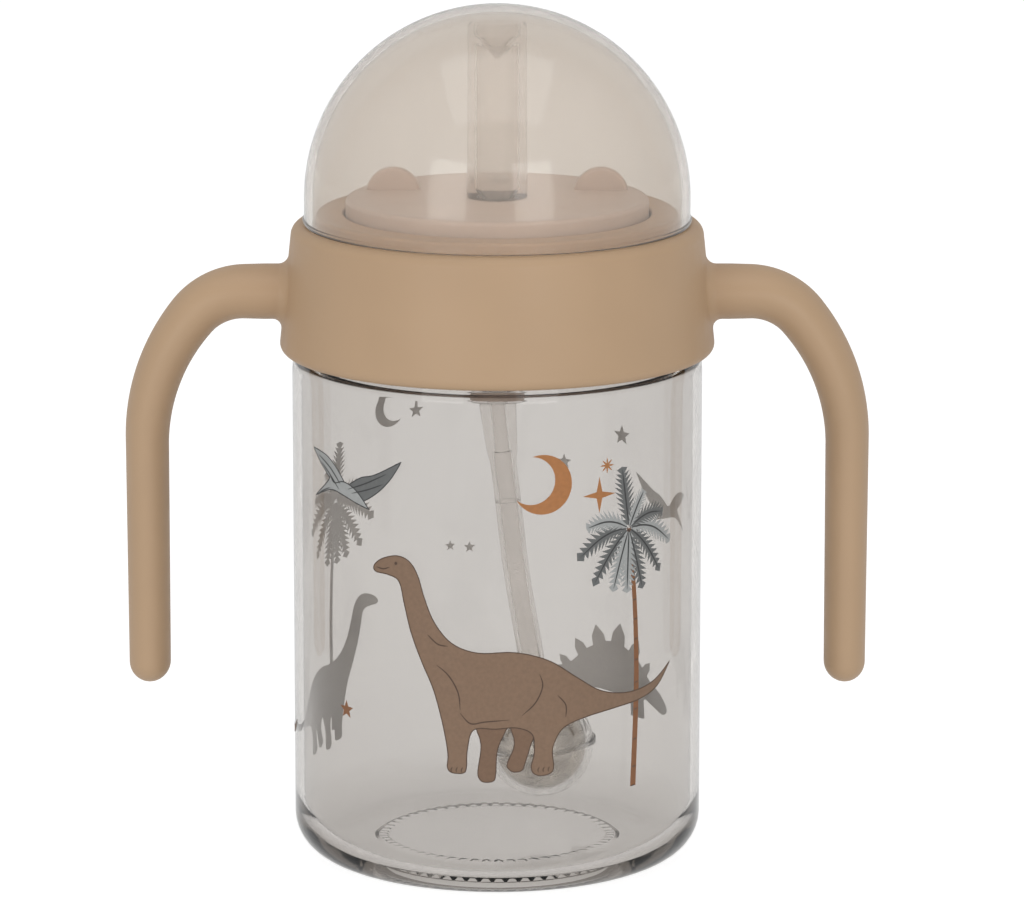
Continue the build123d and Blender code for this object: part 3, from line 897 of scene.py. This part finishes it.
# ---- printed figures
def smooth_line(points, steps=6, closed=True):
    """A smooth line through the points. A point given twice in a row is a corner."""
    count = len(points)
    result = []
    for index in range(count if closed else count - 1):
        if closed:
            a, b, c, d = (points[(index + shift) % count] for shift in (-1, 0, 1, 2))
        else:
            a, b, c, d = (points[min(max(index + shift, 0), count - 1)] for shift in (-1, 0, 1, 2))
        if b == c:
            continue
        for step in range(steps):
            t = step / steps
            result.append(tuple(
                0.5 * (
                    2 * q + (r - p) * t + (2 * p - 5 * q + 4 * r - s) * t * t
                    + (3 * q - p - 3 * r + s) * t ** 3
                )
                for p, q, r, s in zip(a, b, c, d)
            ))
    if not closed:
        result.append(tuple(points[-1]))
    return result


def stroke(points, width, steps=5, taper=True):
    """Outline of a pen stroke through the points, thinner at its ends."""
    line = [Vector(p) for p in smooth_line(points, steps, closed=False)]
    left, right = [], []
    for index, point in enumerate(line):
        along = (line[min(index + 1, len(line) - 1)] - line[max(index - 1, 0)]).normalized()
        side = Vector((-along.y, along.x))
        share = index / (len(line) - 1)
        half = width / 2 * (min(1.0, 0.25 + 3.0 * min(share, 1 - share)) if taper else 1.0)
        left.append(tuple(point + side * half))
        right.append(tuple(point - side * half))
    return left + right[::-1]


def border(outline, width):
    """Thin closed line along an outline, as a list of short quads."""
    quads = []
    points = [Vector(p) for p in outline]
    count = len(points)
    sides = []
    for index, point in enumerate(points):
        along = (points[(index + 1) % count] - points[index - 1])
        along = along.normalized() if along.length > 1e-6 else Vector((1, 0))
        sides.append(Vector((-along.y, along.x)) * width / 2)
    for index in range(count):
        after = (index + 1) % count
        a, b = points[index], points[after]
        if (b - a).length < 1e-4:
            continue
        quads.append([tuple(a + sides[index]), tuple(b + sides[after]),
                      tuple(b - sides[after]), tuple(a - sides[index])])
    return quads


def borders(edges, line):
    """Thin lines along several (outline, layer) edges, as shapes."""
    return [(quad, line, layer) for edge, layer in edges for quad in border(edge, 0.2)]


def moved(outline, x=0.0, z=0.0, scale=1.0, turn=0.0):
    cos, sin = math.cos(math.radians(turn)) * scale, math.sin(math.radians(turn)) * scale
    return [(x + a * cos - b * sin, z + a * sin + b * cos) for a, b in outline]


def flat_cells(outline):
    """Triangles of an outline, cut in upright strips so that they can follow the cup."""
    flat = bmesh.new()
    corners, last = [], None
    for x, z in outline:
        if last is None or (abs(x - last[0]) + abs(z - last[1])) > 1e-4:
            corners.append(flat.verts.new((x, z, 0)))
            last = (x, z)
    face = flat.faces.new(corners)
    face.normal_update()
    bmesh.ops.triangulate(flat, faces=[face])
    low = min(x for x, _ in outline)
    high = max(x for x, _ in outline)
    for strip in range(math.floor(low / PRINT_STRIP) + 1, math.ceil(high / PRINT_STRIP)):
        everything = [*flat.verts, *flat.edges, *flat.faces]
        bmesh.ops.bisect_plane(
            flat, geom=everything, dist=1e-5,
            plane_co=(strip * PRINT_STRIP, 0, 0), plane_no=(1, 0, 0),
        )
    return flat


def print_on_cup(name, shapes, around_deg, base_z, scale=1.0, flip=False):
    """A printed figure. Each shape is (outline, ink, layer); the figure stands at an angle from the front."""
    vertices, faces, materials, used = [], [], [], [UNDERPRINT]
    middle = math.radians(around_deg)
    for outline, colour, layer in shapes:
        if colour not in used:
            used.append(colour)
        flat = flat_cells([(-x if flip else x, z) for x, z in moved(outline, scale=scale)])
        flat.verts.index_update()
        inner = CUP_R + 0.012 + PRINT_STEP * layer
        start = len(vertices)
        count = len(flat.verts)
        for radius in (inner, inner + PRINT_STEP * 0.8):
            for v in flat.verts:
                angle = middle + v.co.x / CUP_R
                vertices.append((radius * math.sin(angle), -radius * math.cos(angle), base_z + v.co.y))
        for face in flat.faces:
            loop = [v.index for v in face.verts]
            faces.append([start + count + index for index in loop])
            materials.append(used.index(colour))
            faces.append([start + index for index in reversed(loop)])
            materials.append(0)
        for edge in flat.edges:
            if edge.is_boundary:
                a, b = (v.index for v in edge.verts)
                faces.append([start + a, start + b, start + count + b, start + count + a])
                materials.append(used.index(colour))
        flat.free()
    made = make_mesh(name, vertices, faces, materials)
    for material in used:
        made.data.materials.append(material)
    made.data.shade_smooth()
    made.data.set_sharp_from_angle(angle=math.radians(40))
    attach(made, "cup")
    return made


def star(points, outer, inner, turn=90.0):
    outline = []
    for index in range(points * 2):
        radius = outer if index % 2 == 0 else inner
        angle = math.radians(turn + 180.0 * index / points)
        outline.append((radius * math.cos(angle), radius * math.sin(angle)))
    return outline


def crescent(outer, gap, open_to):
    """A crescent moon: a disc less a smaller one pushed towards one side."""
    inner = outer * 0.8
    tip = 0.5 * (outer ** 2 - inner ** 2 + gap ** 2) / gap
    outer_tip = math.degrees(math.acos(tip / outer))
    inner_tip = math.degrees(math.acos((tip - gap) / inner))
    outline = []
    for step in range(CRESCENT_STEPS + 1):
        angle = math.radians(outer_tip + (360 - 2 * outer_tip) * step / CRESCENT_STEPS)
        outline.append((outer * math.cos(angle), outer * math.sin(angle)))
    for step in range(1, CRESCENT_STEPS):
        angle = math.radians(360 - inner_tip - (360 - 2 * inner_tip) * step / CRESCENT_STEPS)
        outline.append((gap + inner * math.cos(angle), inner * math.sin(angle)))
    return moved(outline, turn=open_to)


def long_neck(body, shade, line):
    """A plain long-necked dinosaur, side on, that looks ahead to the left."""
    outline = smooth_line([
        (40, 18.4), (40, 18.4), (34.5, 15.4), (28, 14.4), (21.5, 15.6), (16, 19), (10.5, 22.6), (4, 24.4),
        (-3, 24.3), (-8, 26), (-11.4, 29.8), (-13.4, 34.4), (-14.8, 38.8), (-16.6, 41.4), (-19.2, 42.2),
        (-22.4, 41.3), (-24.3, 39.8), (-24, 38.6), (-21, 38.3), (-18.7, 37.2), (-17.6, 33), (-16.2, 27.6),
        (-14, 22), (-11.6, 16.6), (-9.8, 10), (-8.8, 4.4), (-8.9, 1.6),
        (-8, 0.6), (-5.8, 0.6), (-5.2, 1.8), (-5, 5.4), (-3.8, 9.2), (0.4, 9.4), (4.4, 9.6), (7.4, 8.2),
        (7.8, 4.6), (7.2, 2), (7.6, 0.6), (9, 0), (11, 0.4), (11.6, 1.8), (11.4, 5.2), (13.4, 9), (18, 10.8),
        (24.4, 11.8), (31, 12.6), (36, 14.4),
    ], 5)
    far_front = smooth_line([
        (-3.6, 12), (-2.4, 6.4), (-3, 1), (-2.6, -0.6), (-1.6, -1.1), (0, -0.8), (0.4, 0.6), (0.8, 5.6),
        (3, 12),
    ], 5)
    far_back = smooth_line([
        (3, 12), (4, 6.6), (2.6, 2.6), (3, 1.4), (4, 0.9), (5.4, 1.2), (6, 2.6), (7.2, 6.4), (9, 12),
    ], 5)
    shapes = [(far_front, shade, 0), (far_back, shade, 0), (outline, body, 1)]
    lines = [
        [(-6.4, 12.4), (-4.4, 10.4), (-1.6, 10.8), (3, 11.2)],
        [(5.4, 12), (8, 14.4), (9.4, 17.6), (8.8, 20)],
        [(-11, 21.6), (-8.6, 19.6), (-6.8, 16.4), (-6.4, 13)],
        [(12.4, 15.6), (14, 13.6), (14, 11.2)],
        [(-8.8, 25.4), (-10.8, 25.7), (-12.8, 27.4)],
        [(-23.8, 39.5), (-22.2, 39.3), (-20.8, 39.8)],
    ]
    shapes += [(stroke(points, 0.26), line, 2) for points in lines]
    for toe_x in (-8.1, -7.1, -6.1, 8.6, 9.6, 10.6):
        shapes.append((stroke([(toe_x, 0.7), (toe_x - 0.1, 1.2), (toe_x + 0.2, 1.7)], 0.2), line, 2))
    shapes.append((moved(star(8, 0.34, 0.29), -19.4, 40.7), line, 2))
    return shapes + borders([(outline, 2), (far_front, 0.5), (far_back, 0.5)], line)


def frond(angle, length, droop, fill, line):
    """One palm leaf: a drooping midrib with a toothed edge on both sides."""
    direction = Vector((math.cos(math.radians(angle)), math.sin(math.radians(angle))))
    teeth = 11

    def rib(t):
        return direction * length * t - Vector((0, droop * t * t))

    left, right = [], []
    for index in range(teeth):
        t = 0.06 + 0.9 * index / teeth
        here = rib(t)
        along = (rib(t + 0.02) - rib(t - 0.02)).normalized()
        side = Vector((-along.y, along.x))
        reach = length * 0.17 * math.sin(math.pi * (0.14 + 0.8 * t)) + 0.2
        for edge, sign in ((left, 1), (right, -1)):
            edge.append(tuple(here + side * sign * reach * 0.26))
            edge.append(tuple(here + side * sign * reach + along * reach * 0.85))
    tip = rib(1.0)
    outline = left + [tuple(tip)] + right[::-1]
    spine = [tuple(rib(t)) for t in (0.02, 0.3, 0.6, 0.95)]
    return [(outline, fill, 1), (stroke(spine, 0.28), line, 2)]


def palm(dark, pale, trunk, line, height):
    """A palm: a thin ringed trunk that bends a little under a crown of drooping leaves."""
    shapes = []
    trunk_line = [(0.2, height), (1.6, height * 0.72), (2.1, height * 0.4), (1.4, 0)]
    middle = [Vector(p) for p in smooth_line(trunk_line, 8, closed=False)]
    count = len(middle) - 1
    edge_left = [(p.x - 0.42 - 0.2 * i / count, p.y) for i, p in enumerate(middle)]
    edge_right = [(p.x + 0.42 + 0.2 * i / count, p.y) for i, p in enumerate(middle)]
    shapes.append((edge_left + edge_right[::-1], trunk, 0))
    for point in middle[2::2]:
        ring = [(point.x - 0.46, point.y), (point.x + 0.46, point.y + 0.18)]
        shapes.append((stroke(ring, 0.16), line, 0.5))
    leaves = [
        (215, 9.0, 4.2, dark), (330, 9.0, 4.4, dark), (250, 10.0, 1.4, pale), (288, 10.5, 1.2, dark),
        (268, 11.0, 0.4, pale), (172, 10.5, 6.0, dark), (12, 11.0, 6.4, pale), (146, 10.5, 5.0, pale),
        (36, 10.5, 4.6, dark), (98, 11.5, 0.4, dark), (66, 8.5, 1.6, pale),
    ]
    for index, (angle, length, droop, fill) in enumerate(leaves):
        for outline, colour, layer in frond(angle, length, droop, fill, line):
            shapes.append((moved(outline, 0.2, height), colour, layer + 1.0 * index * 0.2))
    return shapes


def flyer(dark, pale, line):
    """A plain flying reptile with its wings raised and its beak to the right."""
    far_wing = smooth_line([
        (1.4, 0.6), (1.4, 0.6), (4.2, 3.4), (7.2, 5.0), (11.4, 5.6), (11.4, 5.6), (8.8, 3.2), (6.2, 1.2),
        (3.4, -1.4),
    ], 5)
    near_wing = smooth_line([
        (0.8, 0.2), (0.8, 0.2), (-2.6, 2.2), (-6, 3.2), (-11.6, 6.2), (-11.6, 6.2), (-9.2, 2.6), (-6, -0.4),
        (-2.2, -2.2),
    ], 5)
    body = smooth_line([
        (-4.6, -3.4), (-4.6, -3.4), (-1.6, -0.4), (1.6, 0.8), (4.4, 0.2), (5.6, 1.5), (5.6, 1.5), (6.4, 0.1),
        (10.6, -3.2), (10.6, -3.2), (6.6, -1.6), (4.4, -1.2), (1.4, -1.8), (-1.4, -2.6),
    ], 5)
    shapes = [(far_wing, pale, 0), (near_wing, dark, 1), (body, pale, 2)]
    lines = [
        [(0.6, -0.4), (-4, 1.4), (-8.4, 3.6)], [(-0.4, -1), (-4.2, 0.2), (-7.6, 1.6)],
        [(2.6, 0.2), (5.6, 2.8), (9.4, 4.6)], [(3, -0.8), (5.8, 1.6), (8.4, 3.4)],
        [(5.6, -0.9), (7.6, -1.7), (9.4, -2.6)],
    ]
    shapes += [(stroke(points, 0.22), line, 3) for points in lines]
    return shapes + borders([(far_wing, 0.5), (near_wing, 1.5), (body, 2.5)], line)


def plated(body, plate, line):
    """A plain plated dinosaur with its head low to the left."""
    outline = smooth_line([
        (-15, 3.2), (-12.6, 5.4), (-9.2, 7.2), (-5, 11), (0.4, 13), (5.6, 11.2), (9.8, 7.8), (14, 7.4),
        (18.4, 9.6), (18.4, 9.6), (14, 5.2), (9.4, 4.2), (8.6, 0.6), (8.6, 0), (5.2, 0), (4.8, 0.6),
        (5, 3.8), (0, 3.6), (-3.6, 3.8), (-4.2, 0.6), (-4.4, 0), (-7.4, 0), (-7.6, 0.6), (-7.6, 3.6),
        (-10.4, 2.8), (-13.4, 2),
    ], 5)
    shapes = []
    plates = [(-7.8, 8.8, 2.4, 128), (-4.6, 11.2, 3.4, 116), (-0.8, 12.6, 4.2, 98), (3.2, 12, 3.9, 76),
              (6.8, 10.2, 3.0, 58), (10, 7.8, 2.2, 48)]
    for x, z, size, turn in plates:
        kite = [(-0.4 * size, -0.6), (0.0, -0.9), (0.4 * size, -0.6), (0.34 * size, 0.5 * size), (0, size),
                (-0.34 * size, 0.5 * size)]
        shapes.append((moved(kite, x, z, 1.0, turn - 90), plate, 0))
    shapes.append((outline, body, 1))
    return shapes + borders([(outline, 2)], line)


def make_prints():
    """Every figure: its name, shapes, angle from the front, height, scale and whether it is mirrored."""
    greys = INK_GREY, INK_GREY_PALE
    browns = INK_BROWN, INK_BROWN_SHADE, INK_BROWN_DARK
    bar = stroke([(-1.3, 0), (0, 0), (1.3, 0)], 0.3)
    rays = [(moved(bar, turn=turn), INK_OCHRE, turn / 90) for turn in (0, 45, 90, 135)]
    figures = [
        ("long_neck", long_neck(*browns), -1, 22.4, 0.90),
        ("palm_right", palm(*greys, INK_RUST, INK_CHARCOAL, 46.0), 38.5, 18.4),
        ("moon", [(crescent(5.2, 2.1, 160), INK_OCHRE, 0)], 12.4, 73.6),
        ("sparkle", [(star(4, 3.2, 0.8), INK_OCHRE, 0)], 29.0, 71.0),
        ("asterisk", rays, 31.4, 76.0),
        ("flyer_left", flyer(*greys, INK_CHARCOAL), -44.5, 71.0, 0.95, True),
        ("star_low", [(star(5, 1.7, 0.75), INK_RUST, 0)], -46.5, 31.4),
        ("palm_back", palm(*greys, INK_RUST, INK_CHARCOAL, 42.0), -124.5, 16.0),
        ("plated", plated(INK_GREY_PALE, INK_GREY, INK_CHARCOAL), 143.0, 17.0),
        ("long_neck_back", long_neck(*browns), -118, 13.5, 0.62),
        ("flyer_back", flyer(*greys, INK_CHARCOAL), 120.0, 57.5, 0.8, True),
        ("moon_back", [(crescent(3.1, 1.3, 165), INK_OCHRE, 0)], -146.5, 73.0),
    ]
    small = ((-155.5, 72.4, 1.5), (160.0, 62.6, 1.5), (140.5, 68.8, 1.9), (-166.0, 46.6, 1.0),
             (-171.8, 46.2, 1.1))
    for index, (around, height, size) in enumerate(small):
        figures.append((f"star_back_{index}", [(star(5, size, size * 0.44), INK_GREY, 0)], around, height))
    for name, *rest in figures:
        print_on_cup(f"print_{name}", *rest)


# ---- stage, light and camera
def seen_directly(tree):
    """One for a ray from the camera or through clear plastic, nought for light that bounces."""
    path = tree.nodes.new("ShaderNodeLightPath")
    either = tree.nodes.new("ShaderNodeMath")
    either.operation = "MAXIMUM"
    tree.links.new(path.outputs["Is Camera Ray"], either.inputs[0])
    tree.links.new(path.outputs["Is Transmission Ray"], either.inputs[1])
    return either.outputs[0]


def emission_floor():
    floor_r, around = 4000.0, 128
    rings = [0.0, 60.0, 120.0, 240.0, 600.0, 1500.0, floor_r]
    points = [Vector((r, -0.02)) for r in rings]
    floor = lathe("floor", points, False, around)
    floor.data.shade_smooth()
    material, tree, shader = new_material("pale_floor")
    set_sockets(shader, {
        "Base Color": (0.30, 0.30, 0.30, 1), "Roughness": 0.9,
        "Specular IOR Level": 0.1, "Emission Color": (1, 1, 1, 1),
    })
    seen = seen_directly(tree)
    strength = tree.nodes.new("ShaderNodeMapRange")
    set_sockets(strength, {"To Min": 0.50, "To Max": 0.88})
    tree.links.new(seen, strength.inputs["Value"])
    tree.links.new(strength.outputs["Result"], shader.inputs["Emission Strength"])
    floor.data.materials.append(material)


def soft_box(name, azimuth, elevation, distance, wide, high, radiance):
    """A rectangular light that faces the middle of the cup."""
    a, e = math.radians(azimuth), math.radians(elevation)
    centre = Vector((0, 0, 0.1))
    back = Vector((math.sin(a) * math.cos(e), -math.cos(a) * math.cos(e), math.sin(e)))
    light = bpy.data.lights.new(name, "AREA")
    light.shape = "RECTANGLE"
    light.size, light.size_y = wide, high
    light.energy = radiance * math.pi * wide * high
    lamp = new_object(name, light)
    lamp.location = centre + back * distance
    lamp.rotation_euler = (-back).to_track_quat("-Z", "Y").to_euler()
    lamp.visible_camera = False


def make_world():
    world = bpy.data.worlds.new("studio")
    bpy.context.scene.world = world
    world.use_nodes = True
    tree = world.node_tree
    background = tree.nodes["Background"]
    background.inputs["Color"].default_value = (0.56, 0.56, 0.56, 1)
    pale = tree.nodes.new("ShaderNodeBackground")
    pale.inputs["Color"].default_value = (1.0, 1.0, 1.0, 1)
    mix = tree.nodes.new("ShaderNodeMixShader")
    tree.links.new(seen_directly(tree), mix.inputs["Fac"])
    tree.links.new(background.outputs["Background"], mix.inputs[1])
    tree.links.new(pale.outputs["Background"], mix.inputs[2])
    tree.links.new(mix.outputs["Shader"], tree.nodes["World Output"].inputs["Surface"])


def make_camera():
    elevation = math.radians(12.07)
    target = Vector((0, 0, 0.075))
    back = Vector((0, -math.cos(elevation), math.sin(elevation)))
    data = bpy.data.cameras.new("camera")
    data.sensor_width = 36.0
    data.lens = 199.7
    data.shift_x = 0.0144
    data.shift_y = -0.0200
    data.clip_start, data.clip_end = 0.05, 20.0
    camera = new_object("camera", data)
    camera.location = target + back
    camera.rotation_euler = (-back).to_track_quat("-Z", "Y").to_euler()
    bpy.context.scene.camera = camera


make_cup()
make_collar()
make_handle("handle_right", 1, "right_handle")
make_handle("handle_left", -1, "left_handle")
make_lid()
make_tab("lid_tab_right", 1)
make_tab("lid_tab_left", -1)
make_spout()
make_connector()
make_straw()
make_weight()
make_dome()
make_prints()
for kept_node in ("lid_gasket", "vent_valve"):
    for material_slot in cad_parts[kept_node].material_slots:
        material_slot.material = SILICONE

emission_floor()
soft_box("box_left", -30, 13, 1.25, 0.52, 0.75, 2.0)
soft_box("box_right", 22, 13, 1.25, 0.52, 0.75, 2.0)
soft_box("box_top", 0, 80, 1.3, 1.2, 1.2, 0.8)
make_world()
make_camera()
bpy.context.scene.view_settings.view_transform = "Standard"
